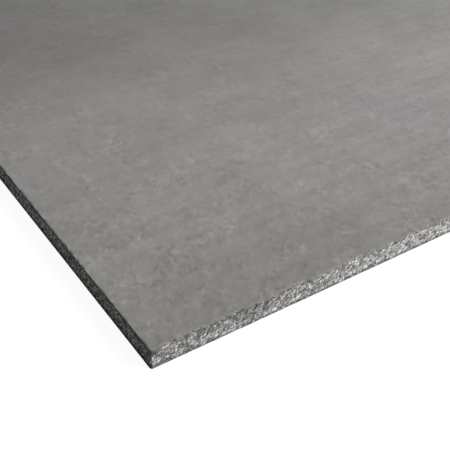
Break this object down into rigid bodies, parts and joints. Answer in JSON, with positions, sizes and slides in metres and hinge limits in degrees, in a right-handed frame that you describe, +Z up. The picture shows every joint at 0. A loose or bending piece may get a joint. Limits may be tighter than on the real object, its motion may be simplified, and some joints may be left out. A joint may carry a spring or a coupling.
{
  "type": "cement board",
  "caption": "Flat rectangular sheet of grey cement board with square cut edges of open aggregate, a tile backing and lining board for walls and floors.",
  "frame": {"origin": "middle of the back face, which lies on the floor", "axes": "+X along the sheet's length, +Y along its width, +Z up through its thickness, out of the smooth face"},
  "size_m": [1.2, 0.9, 0.0125],
  "materials": {
    "cement": "matte fine cement face, granular where the edges are cut"
  },
  "bodies": {
    "root": {"board": "cement"}
  },
  "joints": []
}
